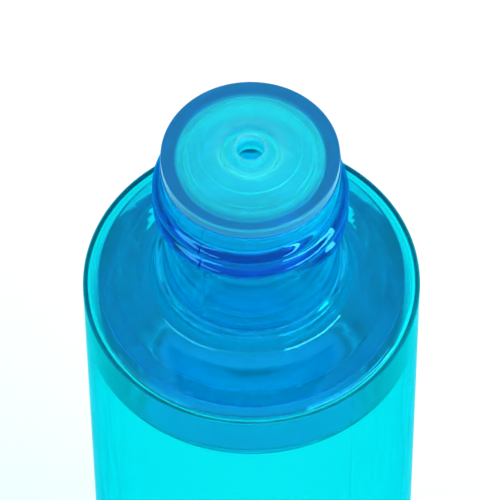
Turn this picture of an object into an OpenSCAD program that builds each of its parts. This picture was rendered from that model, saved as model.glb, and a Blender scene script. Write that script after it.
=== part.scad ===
// Face lotion bottle: a clear tinted cylinder with a flat shoulder, a threaded neck and a
// press-in pouring plug, filled with lotion to just under the shoulder.
// Millimetres. +Z is up, the origin is the centre of the base on the surface it stands on,
// and -Y is the front.

/* [Body] */
// Outside diameter of the body
body_d = 42; // [38:1:56]
// Height from the base to the plane of the shoulder
body_h = 128.7; // [70:0.1:180]
// Thickness of the blown wall
wall = 1; // [0.7:0.1:1.5]
// Outside radius of the edge between body and shoulder
rim_round = 1.8; // [0.8:0.1:3]
// Inside radius of the same edge
rim_round_in = 1; // [0.4:0.1:2]
// Fall of the shoulder from neck to edge, in degrees
shoulder_slope = 2; // [0:0.5:6]

/* [Base] */
// Outside radius of the edge between body and base
heel_round = 2.5; // [1.5:0.1:4]
// Inside radius of the same edge
heel_round_in = 1.6; // [0.8:0.1:3]
// Width of the flat ring that the bottle stands on
stand_w = 1.6; // [0.8:0.1:3]
// Radius that turns that ring up into the hollow of the base
stand_round = 1; // [0.5:0.1:2]
// Height of the hollow in the middle of the base
push_up = 2.6; // [1:0.1:5]
// Thickness of the base
base_t = 1.5; // [1:0.1:2.5]
// Diameter of the moulding gate in the middle of the base
gate_d = 2.6; // [1.5:0.1:4]
// Height of that gate
gate_h = 0.5; // [0.2:0.1:0.8]

/* [Neck] */
// Outside diameter of the neck between the threads
neck_d = 21.9; // [20:0.1:22.1]
// Diameter of the bore through the neck
bore_d = 17.9; // [14:0.1:18.5]
// Height from the plane of the shoulder to the top of the neck
neck_h = 24.3; // [20:0.1:32]
// Rounding of the outside edge at the top of the neck
lip_round = 0.3; // [0.1:0.05:0.5]
// Diameter of the ring at the foot of the neck
ring_d = 24.1; // [23.9:0.1:27]
// Height of that ring's upper face above the plane of the shoulder
ring_top = 3.6; // [3.4:0.1:6]
// Rounding of the ring's upper edge
ring_round = 0.4; // [0.2:0.05:0.6]
// Radius in the corner between the neck and that ring
ring_corner = 0.4; // [0.1:0.05:0.4]
// Radius of the hollow sweep from the ring down to the shoulder
sweep_round = 2.6; // [1.5:0.1:2.8]
// Radius of the sweep from the bore out to the underside of the shoulder
throat_round = 8; // [5:0.1:8.5]

/* [Thread] */
// Diameter over the thread
thread_d = 23.9; // [22.6:0.1:25.8]
// Rise of the thread in one turn
pitch = 3; // [2.9:0.1:3.4]
// Number of turns from end to end
turns = 2.1; // [1.25:0.05:2.2]
// Depth of the thread's upper end below the top of the neck, at the middle of the crest
thread_drop = 3.6; // [2.2:0.1:6]
// Direction in which the thread starts, in degrees
thread_start = -68; // [-180:1:180]
// Width of the flat crest
crest_w = 0.4; // [0.2:0.05:0.6]
// Height of the long upper flank
flank_up = 1.2; // [0.9:0.1:1.4]
// Height of the short lower flank
flank_down = 0.5; // [0.3:0.1:0.8]
// Arc over which each end of the thread runs out, in degrees
run_out = 40; // [20:5:60]
// Direction of the neck mould's parting line, in degrees
seam_angle = -122; // [-180:1:180]
// Width of the relief in the thread at that line
seam_w = 0.3; // [0.2:0.05:0.6]
// Thickness of thread that is left under the relief
seam_left = 0.35; // [0.1:0.05:0.5]

/* [Plug] */
// Diameter of the flange that lies on the neck
flange_d = 21.6; // [20:0.1:24]
// Thickness of the flange
flange_t = 1.8; // [1:0.1:2.4]
// Rounding of the flange's upper edge
flange_round = 0.25; // [0.1:0.05:0.4]
// Rise of the domed face from the flange to the orifice
dome_rise = 1.5; // [0.5:0.1:2.5]
// Thickness of the domed face
dome_t = 0.9; // [0.6:0.1:1.2]
// Diameter of the raised pad that seals against a cap's liner
pad_d = 12.2; // [8:0.1:15]
// Height of that pad
pad_h = 0.2; // [0.1:0.02:0.4]
// Diameter of the pouring orifice
orifice_d = 3.3; // [2:0.1:4.5]
// Rounding of the orifice's mouth
mouth_round = 0.35; // [0.1:0.05:0.6]
// Depth of the orifice's tube
spout_h = 2.9; // [2.7:0.1:5]
// Thickness of that tube
spout_t = 1.3; // [0.8:0.1:1.6]
// Radius in the corner between that tube and the underside of the face
spout_round = 1.1; // [0.4:0.1:1.1]
// Length of the skirt inside the neck
skirt_h = 7; // [5:0.1:9]
// Thickness of the skirt
skirt_t = 0.75; // [0.5:0.05:1]
// Room between the skirt and the bore
skirt_gap = 0.2; // [0.1:0.05:0.3]
// Number of sealing beads round the skirt
beads = 2; // [1:1:3]
// Clearance left between a bead and the bore
fit_gap = 0.02; // [0.01:0.01:0.05]

/* [Lotion] */
// Depth of the lotion's surface below the plane of the shoulder
headspace = 9.6; // [6:0.1:20]
// Radius of the lotion's raised edge
meniscus_r = 1.4; // [0.8:0.1:2]
// Angle between that edge and the wall, in degrees
contact_angle = 35; // [20:5:60]
// Clearance between the lotion and the wall
fill_gap = 0.02; // [0.01:0.01:0.1]

/* [Hidden] */
$fn = 128;
arc_steps = 12;      // chords in a quarter turn of a small radius
thread_step = 6;     // degrees between sections of the thread
sunk_share = 0.25;   // share of the thread's depth that is sunk in the neck's wall
end_left = 0.1;      // height of the thread's ends, which lie inside the wall
over = 0.1;          // how far a cutter runs past the face that it cuts
bottle_colour = [0.02, 0.52, 0.80, 0.55];
plug_colour = [0.75, 0.93, 0.95, 0.60];
lotion_colour = [0.55, 0.93, 0.96, 0.45];

body_r = body_d / 2;
inner_r = body_r - wall;
neck_r = neck_d / 2;
bore_r = bore_d / 2;
ring_r = ring_d / 2;
thread_r = thread_d / 2;
thread_depth = thread_r - neck_r;
neck_top = body_h + neck_h;
thread_top = neck_top - thread_drop;
stand_r = body_r - heel_round - stand_w;
floor_r = inner_r - heel_round_in;
shoulder_under = body_h - wall;

// Points of an arc round centre c, from angle a0 to angle a1
function arc(c, r, a0, a1, n = arc_steps) =
    [for (i = [0:n]) c + r * [cos(a0 + (a1 - a0) * i / n), sin(a0 + (a1 - a0) * i / n)]];

// Radius of the arc that rises by h over the half width w
function dome_radius(w, h) = (w * w + h * h) / (2 * h);

// A floor at height z, pushed up by h in the middle, that turns smoothly through a corner of
// radius r round the point w from the axis and goes on to angle a1 of that corner
function pushed_floor(w, r, h, z, a1, gap = 0) =
    let (reach = dome_radius(w, h),
         half = asin(w / reach))
        concat(arc([0, z + r + h - reach], reach - r + gap, 90, 90 - half),
               arc([w, z + r], r - gap, 270 - half, a1));

// Height at radius x of a shoulder line that leaves the edge arc e of radius r
function shoulder_z(x, e, r) =
    e[1] + r * cos(shoulder_slope)
    + (e[0] + r * sin(shoulder_slope) - x) * tan(shoulder_slope);

// Sweep of radius r from a shoulder line up to a vertical wall at radius x
function sweep(x, r, e, er) =
    let (touch = x + r - r * sin(shoulder_slope),
         c = [x + r, shoulder_z(touch, e, er) + r * cos(shoulder_slope)])
        arc(c, r, 270 - shoulder_slope, 180, 2 * arc_steps);

rim_centre = [body_r - rim_round, body_h - rim_round];
rim_centre_in = [inner_r - rim_round_in, shoulder_under - rim_round_in];
ring_z = body_h + ring_top;

// Outside of the bottle, from the middle of the base to the top of the neck
function outside() = concat(
    pushed_floor(stand_r, stand_round, push_up, 0, 270),
    arc([body_r - heel_round, heel_round], heel_round, 270, 360),
    arc(rim_centre, rim_round, 0, 90 - shoulder_slope),
    sweep(ring_r, sweep_round, rim_centre, rim_round),
    arc([ring_r - ring_round, ring_z - ring_round], ring_round, 0, 90),
    arc([neck_r + ring_corner, ring_z + ring_corner], ring_corner, 270, 180),
    arc([neck_r - lip_round, neck_top - lip_round], lip_round, 0, 90));

// Inside of the body below the shoulder, drawn in by gap
function floor_line(gap = 0) =
    pushed_floor(floor_r, heel_round_in, push_up, base_t, 360, gap);

// Inside of the bottle, from the middle of the floor to the top of the bore
function inside() = concat(
    floor_line(),
    arc(rim_centre_in, rim_round_in, 0, 90 - shoulder_slope),
    sweep(bore_r, throat_round, rim_centre_in, rim_round_in),
    [[bore_r, neck_top + over], [0, neck_top + over]]);

// Value a share of the way from a to b
function mix(a, b, share) = a + (b - a) * share;

// One section of the thread, where share is how much of its full height it has
function thread_section(angle, share) =
    let (z = thread_top - pitch * (thread_start + 360 * turns - angle) / 360,
         foot = neck_r - sunk_share * thread_depth,
         crest = mix(foot + end_left, thread_r, share),
         slope_up = flank_up / thread_depth,
         slope_down = flank_down / thread_depth,
         reach = crest - foot,
         half = crest_w / 2)
        [for (p = [[foot, z - half - reach * slope_down], [crest, z - half],
                   [crest, z + half], [foot, z + half + reach * slope_up]])
            [p[0] * cos(angle), p[0] * sin(angle), p[1]]];

// Helical ridge that runs out into the neck at both ends
module thread_ridge() {
    count = ceil(turns * 360 / thread_step);
    span = turns * 360;
    sections = [for (i = [0:count])
        let (turned = span * i / count,
             share = min(1, turned / run_out, (span - turned) / run_out))
            thread_section(thread_start + turned, max(share, 0))];
    points = [for (s = sections) for (p = s) p];
    sides = [for (i = [0:count - 1]) for (j = [0:3])
        let (a = 4 * i + j, b = 4 * i + (j + 1) % 4)
            each [[a, b + 4, a + 4], [a, b, b + 4]]];
    last = 4 * count;
    ends = [[0, 3, 2, 1], [last, last + 1, last + 2, last + 3]];
    polyhedron(points, concat(sides, ends), convexity = 8);
}

// Thread, relieved where the two halves of the neck mould meet
module thread() {
    difference() {
        thread_ridge();
        for (side = [0, 180])
            rotate([0, 0, seam_angle + side])
                translate([neck_r + seam_left, -seam_w / 2, body_h + ring_top])
                    cube([2 * thread_depth, seam_w, neck_h]);
    }
}

module bottle() {
    color(bottle_colour) {
        union() {
            difference() {
                rotate_extrude() polygon(concat(outside(), [[0, neck_top]]));
                rotate_extrude() polygon(inside());
            }
            thread();
            translate([0, 0, push_up - gate_h])
                cylinder(d = gate_d, h = gate_h + base_t / 2);
        }
    }
}

skirt_r = bore_r - skirt_gap;
bead_r = skirt_gap - fit_gap;
mouth_r = orifice_d / 2 + mouth_round;
dome_r = bore_r;
dome_z = neck_top + flange_t;

// Height of the plug's domed face at radius x
function face_z(x) =
    let (r = dome_radius(dome_r, dome_rise))
        dome_z + dome_rise - r + sqrt(r * r - x * x);

// Domed face between radius x0 and radius x1, raised by up
function face(x0, x1, up = 0) =
    [for (i = [0:arc_steps]) let (x = x0 + (x1 - x0) * i / arc_steps) [x, face_z(x) + up]];

// Section of the plug: flange, domed face, orifice tube and skirt
module plug_section() {
    mouth_z = face_z(mouth_r) + pad_h;
    spout_z = mouth_z - spout_h;
    tube_r = orifice_d / 2 + spout_t;
    corner_r = tube_r + spout_round;
    corner_z = face_z(corner_r) - dome_t - spout_round;
    skirt_in = skirt_r - skirt_t;
    polygon(concat(
        arc([flange_d / 2 - flange_round, dome_z - flange_round], flange_round, 0, 90),
        face(dome_r, pad_d / 2 + pad_h),
        face(pad_d / 2, mouth_r, pad_h),
        arc([mouth_r, mouth_z - mouth_round], mouth_round, 90, 180),
        [[orifice_d / 2, spout_z], [tube_r, spout_z]],
        arc([corner_r, corner_z], spout_round, 180, 90),
        face(corner_r, skirt_in, -dome_t),
        [[skirt_in, neck_top - skirt_h], [skirt_r - skirt_t / 2, neck_top - skirt_h],
         [skirt_r, neck_top - skirt_h + skirt_t], [skirt_r, neck_top],
         [flange_d / 2, neck_top]]));
}

// Half-round beads that grip the bore, spaced down the skirt
module plug_beads() {
    for (i = [1:beads])
        translate([skirt_r, neck_top - skirt_h * i / (beads + 1)])
            circle(r = bead_r, $fn = 32);
}

module inner_plug() {
    color(plug_colour)
        rotate_extrude() {
            union() {
                plug_section();
                plug_beads();
            }
        }
}

// Lotion, with its edge drawn a little way up the wall
module lotion() {
    edge_r = inner_r - fill_gap;
    level = body_h - headspace;
    centre = [edge_r - meniscus_r * cos(contact_angle), level + meniscus_r];
    color(lotion_colour)
        rotate_extrude()
            polygon(concat(
                floor_line(fill_gap),
                arc(centre, meniscus_r, 360 - contact_angle, 270),
                [[0, level]]));
}

bottle();
inner_plug();
lotion();
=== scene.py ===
import math

import bmesh
import bpy
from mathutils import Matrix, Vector


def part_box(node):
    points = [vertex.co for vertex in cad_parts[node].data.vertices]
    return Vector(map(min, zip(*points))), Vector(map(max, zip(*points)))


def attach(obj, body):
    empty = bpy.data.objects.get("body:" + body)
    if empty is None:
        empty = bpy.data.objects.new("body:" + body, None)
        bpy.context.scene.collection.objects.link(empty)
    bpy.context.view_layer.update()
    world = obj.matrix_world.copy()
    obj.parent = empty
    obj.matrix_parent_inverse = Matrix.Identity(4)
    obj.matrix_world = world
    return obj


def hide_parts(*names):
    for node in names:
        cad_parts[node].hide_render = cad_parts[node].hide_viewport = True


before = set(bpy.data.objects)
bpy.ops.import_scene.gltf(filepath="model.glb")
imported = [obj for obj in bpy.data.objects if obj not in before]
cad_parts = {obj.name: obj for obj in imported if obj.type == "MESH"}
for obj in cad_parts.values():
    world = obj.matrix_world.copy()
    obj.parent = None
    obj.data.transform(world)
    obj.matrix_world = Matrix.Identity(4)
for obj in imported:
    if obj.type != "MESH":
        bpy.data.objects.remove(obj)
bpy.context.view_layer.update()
MM = 0.001

# Sizes read from the frame, in millimetres
bottle_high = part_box("bottle")[1]
plug_low, plug_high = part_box("inner_plug")
body_r = bottle_high.x / MM
neck_top = bottle_high.z / MM
flange_r = plug_high.x / MM
skirt_foot = plug_low.z / MM

# Sizes of the bottle, in millimetres and degrees
body_h = neck_top - 24.3
wall = 1.0
plate = 1.0
rim_round = 1.8
rim_round_in = 1.0
shoulder_slope = 2
heel_round = 2.5
heel_round_in = 1.6
stand_w = 1.6
stand_round = 1.0
push_up = 2.6
base_t = 1.5
gate_r = 1.3
gate_h = 0.5
gate_round = 0.2
neck_r = 10.95
bore_r = 8.95
lip_round = 0.3
lip_round_in = 0.15
ring_r = 12.05
ring_top = 3.6
ring_round = 0.4
ring_corner = 0.4
sweep_round = 2.6
throat_round = 8.0

# Extra thickness under the shoulder, in millimetres: none at thin_r, all of it at thick_r
thicker = 1.5
thin_r = 19.2
thick_r = 13.5
thin_power = 1.15

# Sizes of the thread, in millimetres and degrees
thread_depth = 1.0
pitch = 3.0
turns = 2.1
thread_drop = 3.6
thread_start = -68
crest_half = 0.2
flank_up = 1.2
flank_down = 0.5
run_out = 40

# Section of a flank: shares of a straight line, drawn a little steeper, and of a smooth curve
flank_steeper = 1.06
flank_straight = 0.45
flank_curved = 0.55

# Parting lines of the neck mould and of the body mould, in degrees and millimetres
neck_seam = -122
body_seam = -54
seam_ridge = 0.03
body_ridge = 0.01
seam_half_deg = 0.55
seam_left = 0.35

# Sizes of the plug, in millimetres and degrees
flange_t = 1.8
flange_round = 0.25
dome_rise = 1.5
dome_t = 0.9
pad_r = 6.1
pad_h = 0.2
pad_foot = 15
orifice_r = 1.65
mouth_round = 0.35
spout_h = 2.9
spout_t = 1.3
spout_round = 1.1
tube_round = 0.12
skirt_t = 0.75
skirt_gap = 0.2
skirt_corner = 0.6
bead_r = 0.18
lip_overlap = 0.03

# Sizes of the lotion, in millimetres and degrees
headspace = 9.6
meniscus_r = 1.4
contact_angle = 35
wet_overlap = 0.1

# Fineness of the meshes: rows and columns, and how close a support ring lies to an edge
row_step = 0.125
bottle_columns = 200
plain_columns = 256
seam_columns = 4
support = 0.1
plug_support = 0.03
level_support = 0.05
sharp_deg = 24
on_axis = 1e-6

# Colours of the bottle's plastic, darker from the body up to the neck, with painted shade on the
# threads, and of its reflections
pet_body = (0.0, 1.0, 1.0)
pet_edge = (0.0, 0.97, 1.0)
pet_shoulder = (0.0, 0.93, 1.0)
pet_neck = (0.0, 0.8, 1.0)
pet_thread_shade = (0.0, 0.1, 0.6)
pet_outside = (0.0, 0.95, 0.81)
pet_absorbed = (0.0, 0.99, 1.0)
pet_glint = (0.5, 0.72, 1.0, 1)
pet_coat = (0.14, 0.985, 0.997, 1)

# Where the bottle's colours and the threads' painted shade change, in millimetres off the shoulder,
# ring, neck wall and body wall
shoulder_change = (-0.4, 1.5)
thread_change = (1, 2)
proud_change = (0.1, 0.5)
outside_change = (0.7, 0.1)

# Colours of the plug, from the orifice out to the flange: a painted reflection at the orifice, a
# painted highlight ring and painted shade on the flange
ldpe_orifice_reflection = (1.0, 1.0, 1.0)
ldpe_face = (0.03, 1.0, 0.97)
ldpe_highlight = (0.5, 1.0, 0.97)
ldpe_pad = (0.05, 1.0, 0.97)
ldpe_flange_shade = (0.0, 0.5, 0.72)
ldpe_coat = (0.3, 1.0, 1.0, 1)

# Where the plug's colours change, in millimetres: off the orifice, at a painted highlight ring, off
# the bore
orifice_change = (0.3, 0.7)
highlight_ring = (3.1, 3.6, 4.2, 5.0)
flange_change = 0.3

# Colours of the lotion
lotion_white = (1, 1, 1, 1)
lotion_absorbed = (0.0, 0.95, 1.0)

# The studio: the world's level as a light, half the floor's side in metres, the floor's colour
world_lit = 0.75
floor_half = 4.0
floor_white = (0.98, 0.98, 0.98, 1)

# Softboxes: azimuth and elevation in degrees, width and height in metres, level against white
softboxes = {
    "softbox_right": (58, 19, 1.05, 0.14, 19.0),
    "softbox_left": (-60, 25, 0.9, 0.1, 8.0),
}

# The photograph's view: degrees, millimetres, and the focal length in the frame's pixels
view_elevation = 56.68
view_distance = 614.3
view_height = 128
view_roll = -0.54
view_dx = 0.147
view_dy = -3.30
focal_px = 4941
frame_px = 500
sensor_w = 36

# Enough bounces for rays that cross both walls, the lotion and the plug
bounces = 32


def arc(cx, cz, r, a0, a1, steps):
    """Points of an arc round (cx, cz) from a0 to a1 degrees."""
    out = []
    for i in range(steps + 1):
        a = math.radians(a0 + (a1 - a0) * i / steps)
        out.append((cx + r * math.cos(a), cz + r * math.sin(a)))
    return out


def line(p, q, steps, near=0.0):
    """Points from p to q, both ends left out; with near, one more lies that close to each end."""
    long = math.dist(p, q)
    shares = [i / steps for i in range(1, steps)]
    if near and long > 4 * near:
        inner = [s for s in shares if near < s * long < long - near]
        shares = [near / long] + inner + [1 - near / long]
    return [(p[0] + (q[0] - p[0]) * s, p[1] + (q[1] - p[1]) * s) for s in shares]


def span(a, b, steps):
    """Even values from a to b, with both."""
    return [a + (b - a) * i / steps for i in range(steps + 1)]


def smooth(t):
    """0 up to t = 0, 1 from t = 1, and a smooth rise between them."""
    t = min(max(t, 0.0), 1.0)
    return t * t * (3 - 2 * t)


def pushed_floor(w, r, h, z, a1, gap=0.0):
    """A floor at height z, pushed up by h in the middle, and its corner of radius r up to a1."""
    reach = (w * w + h * h) / (2 * h)
    half = math.degrees(math.asin(w / reach))
    dome = arc(0, z + r + h - reach, reach - r + gap, 90, 90 - half, steps=18)
    return dome + arc(w, z + r, r - gap, 270 - half, a1, steps=14)[1:]


def shoulder_z(x, ex, ez, er):
    """Height at radius x of a shoulder line that leaves its edge arc, radius er, round (ex, ez)."""
    s = math.radians(shoulder_slope)
    return ez + er * math.cos(s) + (ex + er * math.sin(s) - x) * math.tan(s)


def sweep(x, r, ex, ez, er):
    """Sweep of radius r from a shoulder line up to a vertical wall at radius x."""
    s = math.radians(shoulder_slope)
    touch = x + r - r * math.sin(s)
    cz = shoulder_z(touch, ex, ez, er) + r * math.cos(s)
    return arc(x + r, cz, r, 270 - shoulder_slope, 180, steps=24)


def under_side(x, z):
    """Underside of the shoulder, thicker towards the neck."""
    share = min(max((thin_r - x) / (thin_r - thick_r), 0.0), 1.0)
    return z - thicker * (1 - (1 - share) ** thin_power)


def bottle_outside():
    """The bottle's outer section from the gate mark in the base up to the lip."""
    heel_x = body_r - heel_round
    rim_x, rim_z = body_r - rim_round, body_h - rim_round
    ring_z = body_h + ring_top
    gate_z = push_up - gate_h
    pts = [(0, gate_z)]
    pts += arc(gate_r - gate_round, gate_z + gate_round, gate_round, 270, 360, steps=4)
    base = pushed_floor(heel_x - stand_w, stand_round, push_up, 0, 270)
    pts += [p for p in base if p[0] > gate_r + gate_round]
    pts += arc(heel_x, heel_round, heel_round, 270, 360, steps=14)
    pts += line((body_r, heel_round), (body_r, rim_z), 8, support)
    pts += arc(rim_x, rim_z, rim_round, 0, 90 - shoulder_slope, steps=18)
    pts += sweep(ring_r, sweep_round, rim_x, rim_z, rim_round)
    pts += arc(ring_r - ring_round, ring_z - ring_round, ring_round, 0, 90, steps=10)
    pts += arc(neck_r + ring_corner, ring_z + ring_corner, ring_corner, 270, 180, steps=8)
    low = (neck_r, ring_z + ring_corner)
    high = (neck_r, neck_top - lip_round)
    pts += line(low, high, round((high[1] - low[1]) / row_step))
    pts += arc(neck_r - lip_round, neck_top - lip_round, lip_round, 0, 90, steps=8)
    return pts


def bottle_inside():
    """The bottle's inner section from the lip down the bore, under the shoulder, to the floor."""
    inner_r = body_r - wall
    ex, ez = inner_r - rim_round_in, body_h - plate - rim_round_in
    pts = arc(bore_r + lip_round_in, neck_top - lip_round_in, lip_round_in, 90, 180, steps=5)
    throat = sweep(bore_r, throat_round, ex, ez, rim_round_in)[::-1]
    shift = throat[-1][1] - under_side(throat[-1][0], throat[-1][1])
    throat = [(x, z - shift) for x, z in throat]
    pts += line(pts[-1], throat[0], 6, support) + throat
    for x, _ in line((throat[-1][0], 0), (ex, 0), 24):
        pts.append((x, under_side(x, shoulder_z(x, ex, ez, rim_round_in))))
    pts += arc(ex, ez, rim_round_in, 90 - shoulder_slope, 0, steps=12)
    inner_floor = pushed_floor(inner_r - heel_round_in, heel_round_in, push_up, base_t, 360)
    pts += line((inner_r, ez), (inner_r, base_t + heel_round_in), 8, support)
    pts += inner_floor[::-1]
    pts[-1] = (0, base_t + push_up)
    return pts


def thread_height(angle, z):
    """How far the thread stands proud of the neck at an angle in degrees and a height."""
    top_z = neck_top - thread_drop
    best = 0.0
    turned = (angle - thread_start) % 360
    while turned < turns * 360:
        crest_z = top_z - pitch * (turns * 360 - turned) / 360
        u = z - crest_z
        flank = flank_up if u > 0 else flank_down
        share = 1 - max(abs(u) - crest_half, 0) / flank
        if share > 0:
            end = smooth(min(turned, turns * 360 - turned) / run_out)
            straight = min(share * flank_steeper, 1.0)
            best = max(best, (flank_straight * straight + flank_curved * smooth(share)) * end)
        turned += 360
    return best * thread_depth


def seam_share(angle, seam):
    """1 on a parting line and on the one across from it, falling to 0 beside them."""
    off = min(abs((angle - seam + 180) % 360 - 180), abs((angle - seam) % 360 - 180))
    return smooth(1 - off / seam_half_deg)


def bottle_shape(angle, r, z):
    """Thread on the neck and parting lines down the outside."""
    ridge = 0.0
    if z > body_h + ring_top + ring_corner and r > neck_r - lip_round:
        proud = thread_height(angle, z)
        line_here = seam_share(angle, neck_seam)
        proud += (min(proud, seam_left) - proud) * line_here
        ridge = proud + seam_ridge * line_here
    elif z > heel_round and r > body_r - rim_round:
        ridge = body_ridge * seam_share(angle, body_seam)
    return r + ridge


def columns(count, seams):
    """Angles round the axis, closer together at the parting lines."""
    out = {round(360 * i / count, 4) for i in range(count)}
    for seam in seams:
        for side in (0, 180):
            for k in range(-seam_columns, seam_columns + 1):
                out.add(round((seam + side + k * seam_half_deg / seam_columns) % 360, 4))
    return sorted(out)


def face_z(x):
    """Height of the plug's domed face at radius x."""
    reach = (bore_r * bore_r + dome_rise * dome_rise) / (2 * dome_rise)
    return neck_top + flange_t + dome_rise - reach + math.sqrt(reach * reach - x * x)


def plug_profile():
    """The plug's section as a loop: flange, domed face, orifice, tube and skirt.

    The flange reaches into the lip a little, so that no air shows between them.
    """
    dome_z = neck_top + flange_t
    mouth_r = orifice_r + mouth_round
    mouth_z = face_z(mouth_r) + pad_h
    spout_z = mouth_z - spout_h
    tube_r = orifice_r + spout_t
    corner_r = tube_r + spout_round
    corner_z = face_z(corner_r) - dome_t - spout_round
    skirt_r = bore_r - skirt_gap
    skirt_in = skirt_r - skirt_t
    skirt_h = neck_top - skirt_foot
    foot = neck_top - skirt_h
    roof_r = skirt_in - skirt_corner
    pts = arc(flange_r - flange_round, dome_z - flange_round, flange_round, 0, 90, steps=8)
    pts += [(x, face_z(x)) for x in span(bore_r, pad_r + pad_h, 12)]
    pts += arc(pad_r, face_z(pad_r), pad_h, pad_foot, 90, steps=7)
    pts += [(x, face_z(x) + pad_h) for x in span(pad_r, mouth_r, 24)][1:]
    pts += arc(mouth_r, mouth_z - mouth_round, mouth_round, 90, 180, steps=10)[1:]
    pts += line(pts[-1], (orifice_r, spout_z + tube_round), 4, plug_support)
    pts += arc(orifice_r + tube_round, spout_z + tube_round, tube_round, 180, 270, steps=4)
    pts += arc(tube_r - tube_round, spout_z + tube_round, tube_round, 270, 360, steps=4)
    pts += arc(corner_r, corner_z, spout_round, 180, 90, steps=12)
    pts += [(x, face_z(x) - dome_t) for x in span(corner_r, roof_r, 10)][1:]
    roof_z = face_z(skirt_in) - dome_t - skirt_corner
    pts += arc(roof_r, roof_z, skirt_corner, 90, 0, steps=8)[1:]
    pts += line(pts[-1], (skirt_in, foot + tube_round), 4, plug_support)
    pts += arc(skirt_in + tube_round, foot + tube_round, tube_round, 180, 270, steps=4)
    pts += [(skirt_r - skirt_t / 2, foot), (skirt_r, foot + skirt_t)]
    for third in (2, 1):
        pts += arc(skirt_r, neck_top - skirt_h * third / 3, bead_r, -90, 90, steps=8)
    pts += [(skirt_r, neck_top - lip_overlap), (flange_r, neck_top - lip_overlap)]
    return pts


def lotion_profile():
    """The lotion's section, drawn a little into the wall so that no air shows between them."""
    edge_r = body_r - wall + wet_overlap
    level = body_h - headspace
    cx = edge_r - meniscus_r * math.cos(math.radians(contact_angle))
    floor_w = body_r - wall - heel_round_in
    pts = pushed_floor(floor_w, heel_round_in, push_up, base_t, 360, -wet_overlap)
    pts += line(pts[-1], (edge_r, level), 8, support)
    pts += arc(cx, level + meniscus_r, meniscus_r, 360 - contact_angle, 270, steps=14)
    pts += line(pts[-1], (0, level), 8, level_support)
    pts += [(0, level)]
    pts[0] = (0, pts[0][1])
    return pts


def revolve(name, profile, angles, shape=None):
    """A closed surface turned from a profile that starts and ends on the axis, or is a loop."""
    mesh = bpy.data.meshes.new(name)
    work = bmesh.new()
    rings = []
    for r, z in profile:
        if r <= on_axis:
            rings.append([work.verts.new((0, 0, z * MM))])
            continue
        ring = []
        for a in angles:
            rr = shape(a, r, z) if shape else r
            t = math.radians(a)
            ring.append(work.verts.new((rr * math.cos(t) * MM, rr * math.sin(t) * MM, z * MM)))
        rings.append(ring)
    pairs = list(zip(rings, rings[1:]))
    if profile[0][0] > on_axis:
        pairs.append((rings[-1], rings[0]))
    for low, high in pairs:
        count = max(len(low), len(high))
        for i in range(count):
            j = (i + 1) % count
            face = [low[i % len(low)], low[j % len(low)], high[j % len(high)], high[i % len(high)]]
            work.faces.new(list(dict.fromkeys(face)))
    work.normal_update()
    work.to_mesh(mesh)
    work.free()
    for face in mesh.polygons:
        face.use_smooth = True
    mesh.set_sharp_from_angle(angle=math.radians(sharp_deg))
    piece = bpy.data.objects.new(name, mesh)
    bpy.context.scene.collection.objects.link(piece)
    return piece


def new_material(name):
    """A material with its node tree, its shader and its output."""
    mat = bpy.data.materials.new(name)
    mat.use_nodes = True
    tree = mat.node_tree
    return mat, tree, tree.nodes["Principled BSDF"], tree.nodes["Material Output"]


def noise(tree, scale, detail=3.0, upright=1.0):
    """Noise in the object's own coordinates, at a scale per metre, drawn out along Z if asked."""
    where = tree.nodes.new("ShaderNodeTexCoord")
    stretch = tree.nodes.new("ShaderNodeMapping")
    stretch.inputs["Scale"].default_value = (1, 1, upright)
    tex = tree.nodes.new("ShaderNodeTexNoise")
    tex.inputs["Scale"].default_value = scale
    tex.inputs["Detail"].default_value = detail
    tree.links.new(where.outputs["Object"], stretch.inputs["Vector"])
    tree.links.new(stretch.outputs["Vector"], tex.inputs["Vector"])
    return tex.outputs["Fac"]


def ranged(tree, value, low, high):
    """A value from 0 to 1, moved to the range from low to high."""
    node = tree.nodes.new("ShaderNodeMapRange")
    node.inputs["To Min"].default_value = low
    node.inputs["To Max"].default_value = high
    tree.links.new(value, node.inputs["Value"])
    return node.outputs["Result"]


def bumped(tree, shader, height, distance, strength):
    """Bump on the shader from a height, up to a distance in metres."""
    node = tree.nodes.new("ShaderNodeBump")
    node.inputs["Distance"].default_value = distance
    node.inputs["Strength"].default_value = strength
    tree.links.new(height, node.inputs["Height"])
    tree.links.new(node.outputs["Normal"], shader.inputs["Normal"])


def absorb(tree, out, density, colour):
    """Even absorption through the piece's volume, with a density per metre."""
    node = tree.nodes.new("ShaderNodeVolumeAbsorption")
    node.inputs["Density"].default_value = density
    node.inputs["Color"].default_value = (*colour, 1)
    tree.links.new(node.outputs["Volume"], out.inputs["Volume"])


def ramped(tree, value, reach, stops):
    """Colour stops at values in millimetres, over a reach in millimetres from 0."""
    scale = tree.nodes.new("ShaderNodeMapRange")
    scale.inputs["From Max"].default_value = reach * MM
    ramp = tree.nodes.new("ShaderNodeValToRGB")
    tree.links.new(value, scale.inputs["Value"])
    tree.links.new(scale.outputs["Result"], ramp.inputs["Fac"])
    keys = ramp.color_ramp.elements
    while len(keys) < len(stops):
        keys.new(0.5)
    for key, (at, colour) in zip(keys, stops):
        key.position = at / reach
        key.color = (*colour, 1)
    return ramp.outputs["Color"]


def by_height(tree, stops):
    """A colour that changes with the height in millimetres."""
    where = tree.nodes.new("ShaderNodeTexCoord")
    split = tree.nodes.new("ShaderNodeSeparateXYZ")
    tree.links.new(where.outputs["Object"], split.inputs["Vector"])
    return ramped(tree, split.outputs["Z"], neck_top, stops)


def off_axis(tree):
    """Distance from the bottle's axis, in metres."""
    where = tree.nodes.new("ShaderNodeTexCoord")
    flat = tree.nodes.new("ShaderNodeVectorMath")
    flat.operation = "MULTIPLY"
    flat.inputs[1].default_value = (1, 1, 0)
    size = tree.nodes.new("ShaderNodeVectorMath")
    size.operation = "LENGTH"
    tree.links.new(where.outputs["Object"], flat.inputs[0])
    tree.links.new(flat.outputs["Vector"], size.inputs[0])
    return size.outputs["Value"]


def by_distance(tree, stops):
    """A colour that changes with the distance from the axis in millimetres."""
    return ramped(tree, off_axis(tree), body_r, stops)


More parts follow.
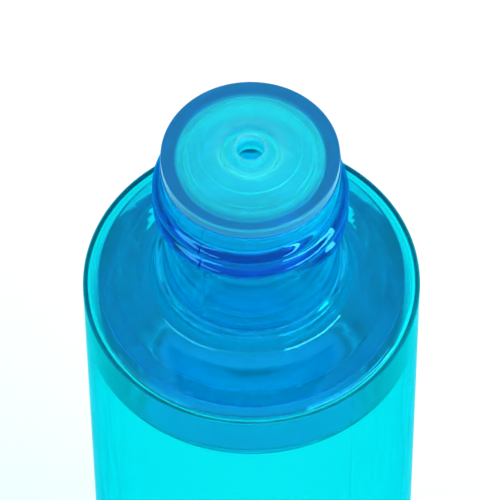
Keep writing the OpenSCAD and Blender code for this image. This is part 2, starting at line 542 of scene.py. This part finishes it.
def by_radius(tree, low, high):
    """0 within the first radius in millimetres, rising to 1 at the second."""
    ease = tree.nodes.new("ShaderNodeMapRange")
    ease.interpolation_type = "SMOOTHSTEP"
    ease.inputs["From Min"].default_value = low * MM
    ease.inputs["From Max"].default_value = high * MM
    tree.links.new(off_axis(tree), ease.inputs["Value"])
    return ease.outputs["Result"]


def mixed(tree, share, first, second):
    """Colour that goes from the first to the second; each is a socket or a plain colour."""
    node = tree.nodes.new("ShaderNodeMix")
    node.data_type = "RGBA"
    tree.links.new(share, node.inputs["Factor"])
    for socket, value in ((node.inputs[6], first), (node.inputs[7], second)):
        if isinstance(value, tuple):
            socket.default_value = (*value, 1)
        else:
            tree.links.new(value, socket)
    return node.outputs[2]


def tinted_pet():
    """Clear blue PET, bluer in the neck, with painted shade that darkens the threads to navy; the
    tinted coat keeps red out of reflections.
    """
    mat, tree, shader, out = new_material("tinted_pet")
    ring_z = body_h + ring_top
    tint = by_height(tree, [
        (0, pet_body),
        (body_h + shoulder_change[0], pet_edge),
        (body_h + shoulder_change[1], pet_shoulder),
        (ring_z, pet_neck),
        (neck_top, pet_neck),
    ])
    # Painted shade: beyond the neck wall this ramp darkens the threads to navy, for the light lost
    # inside them
    outer_tint_and_thread_shade = by_height(tree, [
        (0, pet_edge),
        (ring_z + thread_change[0], pet_shoulder),
        (ring_z + thread_change[1], pet_thread_shade),
        (neck_top, pet_thread_shade),
    ])
    proud = by_radius(tree, neck_r + proud_change[0], neck_r + proud_change[1])
    outside = by_radius(tree, body_r - outside_change[0], body_r - outside_change[1])
    tint = mixed(tree, proud, tint, outer_tint_and_thread_shade)
    tree.links.new(mixed(tree, outside, tint, pet_outside), shader.inputs["Base Color"])
    shader.inputs["Transmission Weight"].default_value = 0.975
    shader.inputs["IOR"].default_value = 1.57
    haze = noise(tree, scale=90, detail=4.0)
    tree.links.new(ranged(tree, haze, low=0.03, high=0.08), shader.inputs["Roughness"])
    streaks = noise(tree, scale=260, detail=2.0, upright=0.12)
    bumped(tree, shader, streaks, distance=0.00012, strength=0.5)
    shader.inputs["Specular Tint"].default_value = pet_glint
    shader.inputs["Coat Weight"].default_value = 1.0
    shader.inputs["Coat IOR"].default_value = 1.003
    shader.inputs["Coat Roughness"].default_value = 0.02
    shader.inputs["Coat Tint"].default_value = pet_coat
    absorb(tree, out, density=4000, colour=pet_absorbed)
    return mat


def natural_ldpe():
    """Slightly milky LDPE, with a painted reflection that whitens the orifice, a painted highlight
    ring on the face, and painted shade where the flange lies on the neck.
    """
    mat, tree, shader, _ = new_material("natural_ldpe")
    highlight_from, highlight_full, highlight_fade, highlight_to = highlight_ring
    plug_colour_and_painted_light = by_distance(tree, [
        # Painted reflection: white at the orifice, where the hole wall reflects the light from
        # above
        (0, ldpe_orifice_reflection),
        (orifice_r + orifice_change[0], ldpe_orifice_reflection),
        (orifice_r + orifice_change[1], ldpe_face),
        # Painted highlight: a pale ring on the face, where it reflects the light from above
        (highlight_from, ldpe_face),
        (highlight_full, ldpe_highlight),
        (highlight_fade, ldpe_highlight),
        (highlight_to, ldpe_pad),
        # Painted shade: darker blue on the flange where it lies on the neck
        (bore_r - flange_change, ldpe_face),
        (bore_r + flange_change, ldpe_flange_shade),
    ])
    tree.links.new(plug_colour_and_painted_light, shader.inputs["Base Color"])
    shader.inputs["Transmission Weight"].default_value = 0.85
    shader.inputs["IOR"].default_value = 1.51
    cloud = noise(tree, scale=220)
    tree.links.new(ranged(tree, cloud, low=0.15, high=0.25), shader.inputs["Roughness"])
    grain = noise(tree, scale=350, detail=1.0)
    bumped(tree, shader, grain, distance=0.00002, strength=0.25)
    shader.inputs["Coat Weight"].default_value = 1.0
    shader.inputs["Coat IOR"].default_value = 1.12
    shader.inputs["Coat Roughness"].default_value = 0.05
    shader.inputs["Coat Tint"].default_value = ldpe_coat
    return mat


def lotion_liquid():
    """Clear watery lotion that takes a little red out of the light."""
    mat, tree, shader, out = new_material("lotion")
    shader.inputs["Base Color"].default_value = lotion_white
    shader.inputs["Transmission Weight"].default_value = 1
    shader.inputs["IOR"].default_value = 1.36
    cloud = noise(tree, scale=120)
    tree.links.new(ranged(tree, cloud, low=0.0, high=0.04), shader.inputs["Roughness"])
    ripple = noise(tree, scale=60, detail=2.0)
    bumped(tree, shader, ripple, distance=0.0003, strength=0.2)
    absorb(tree, out, density=10, colour=lotion_absorbed)
    return mat


def pale_floor():
    """A pale, plain floor under the bottle."""
    mesh = bpy.data.meshes.new("floor")
    s = floor_half
    mesh.from_pydata([(-s, -s, 0), (s, -s, 0), (s, s, 0), (-s, s, 0)], [], [(0, 1, 2, 3)])
    floor = bpy.data.objects.new("floor", mesh)
    bpy.context.scene.collection.objects.link(floor)
    mat, _, shader, _ = new_material("floor")
    shader.inputs["Base Color"].default_value = floor_white
    shader.inputs["Roughness"].default_value = 0.9
    shader.inputs["Specular IOR Level"].default_value = 0.0
    mesh.materials.append(mat)


def white_world():
    """A world that is white where it is seen, also through the bottle, and dimmer as a light."""
    world = bpy.data.worlds.new("studio")
    bpy.context.scene.world = world
    world.use_nodes = True
    tree = world.node_tree
    back = tree.nodes["Background"]
    back.inputs["Color"].default_value = (1, 1, 1, 1)
    path = tree.nodes.new("ShaderNodeLightPath")
    seen = path.outputs["Is Camera Ray"]
    for kind in ("Is Glossy Ray", "Is Transmission Ray"):
        either = tree.nodes.new("ShaderNodeMath")
        either.operation = "MAXIMUM"
        tree.links.new(seen, either.inputs[0])
        tree.links.new(path.outputs[kind], either.inputs[1])
        seen = either.outputs["Value"]
    tree.links.new(ranged(tree, seen, low=world_lit, high=1.0), back.inputs["Strength"])


def softbox(name, azimuth, elevation, wide, tall, level):
    """A lamp one metre from the neck; level is its brightness against a white of 1."""
    a, e = math.radians(azimuth), math.radians(elevation)
    aim = Vector((0, 0, neck_top * MM))
    away = Vector((math.sin(a) * math.cos(e), -math.cos(a) * math.cos(e), math.sin(e)))
    data = bpy.data.lights.new(name, "AREA")
    data.shape = "RECTANGLE"
    data.size = wide
    data.size_y = tall
    data.energy = level * math.pi * wide * tall
    lamp = bpy.data.objects.new(name, data)
    lamp.location = aim + away
    lamp.rotation_euler = (-away).to_track_quat("-Z", "Y").to_euler()
    lamp.visible_camera = False
    bpy.context.scene.collection.objects.link(lamp)


def camera():
    """The photograph's camera, which looks down along +Y."""
    e = math.radians(view_elevation)
    forward = Vector((0, math.cos(e), -math.sin(e)))
    up = Vector((0, math.sin(e), math.cos(e)))
    right = Vector((1, 0, 0))
    at = Vector((0, 0, view_height)) - forward * view_distance - right * view_dx - up * view_dy
    data = bpy.data.cameras.new("camera")
    data.sensor_width = sensor_w
    data.lens = sensor_w * focal_px / frame_px
    data.clip_start = 0.01
    data.clip_end = 20
    cam = bpy.data.objects.new("camera", data)
    cam.location = at * MM
    cam.rotation_euler = forward.to_track_quat("-Z", "Y").to_euler()
    cam.rotation_euler.rotate_axis("Z", math.radians(view_roll))
    bpy.context.scene.collection.objects.link(cam)
    bpy.context.scene.camera = cam


def finish_piece(piece, mat, node):
    """Give a piece its material, hang it on the root body, and hide the CAD part that it takes the
    place of.
    """
    piece.data.materials.append(mat)
    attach(piece, "root")
    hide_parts(node)


# Stage
camera()
white_world()
for name, values in softboxes.items():
    softbox(name, *values)
pale_floor()

# Pieces
bottle_angles = columns(bottle_columns, (neck_seam, body_seam))
plain_angles = [360 * i / plain_columns for i in range(plain_columns)]
bottle_section = bottle_outside() + bottle_inside()
bottle_shell = revolve("bottle_shell", bottle_section, bottle_angles, bottle_shape)
finish_piece(bottle_shell, tinted_pet(), "bottle")
pouring_plug = revolve("pouring_plug", plug_profile(), plain_angles)
finish_piece(pouring_plug, natural_ldpe(), "inner_plug")
lotion_fill = revolve("lotion_fill", lotion_profile(), plain_angles)
finish_piece(lotion_fill, lotion_liquid(), "lotion")

# Render settings
cycles = bpy.context.scene.cycles
cycles.max_bounces = bounces
cycles.transmission_bounces = bounces
cycles.glossy_bounces = bounces
cycles.blur_glossy = 0.0
bpy.context.scene.view_settings.view_transform = "Standard"
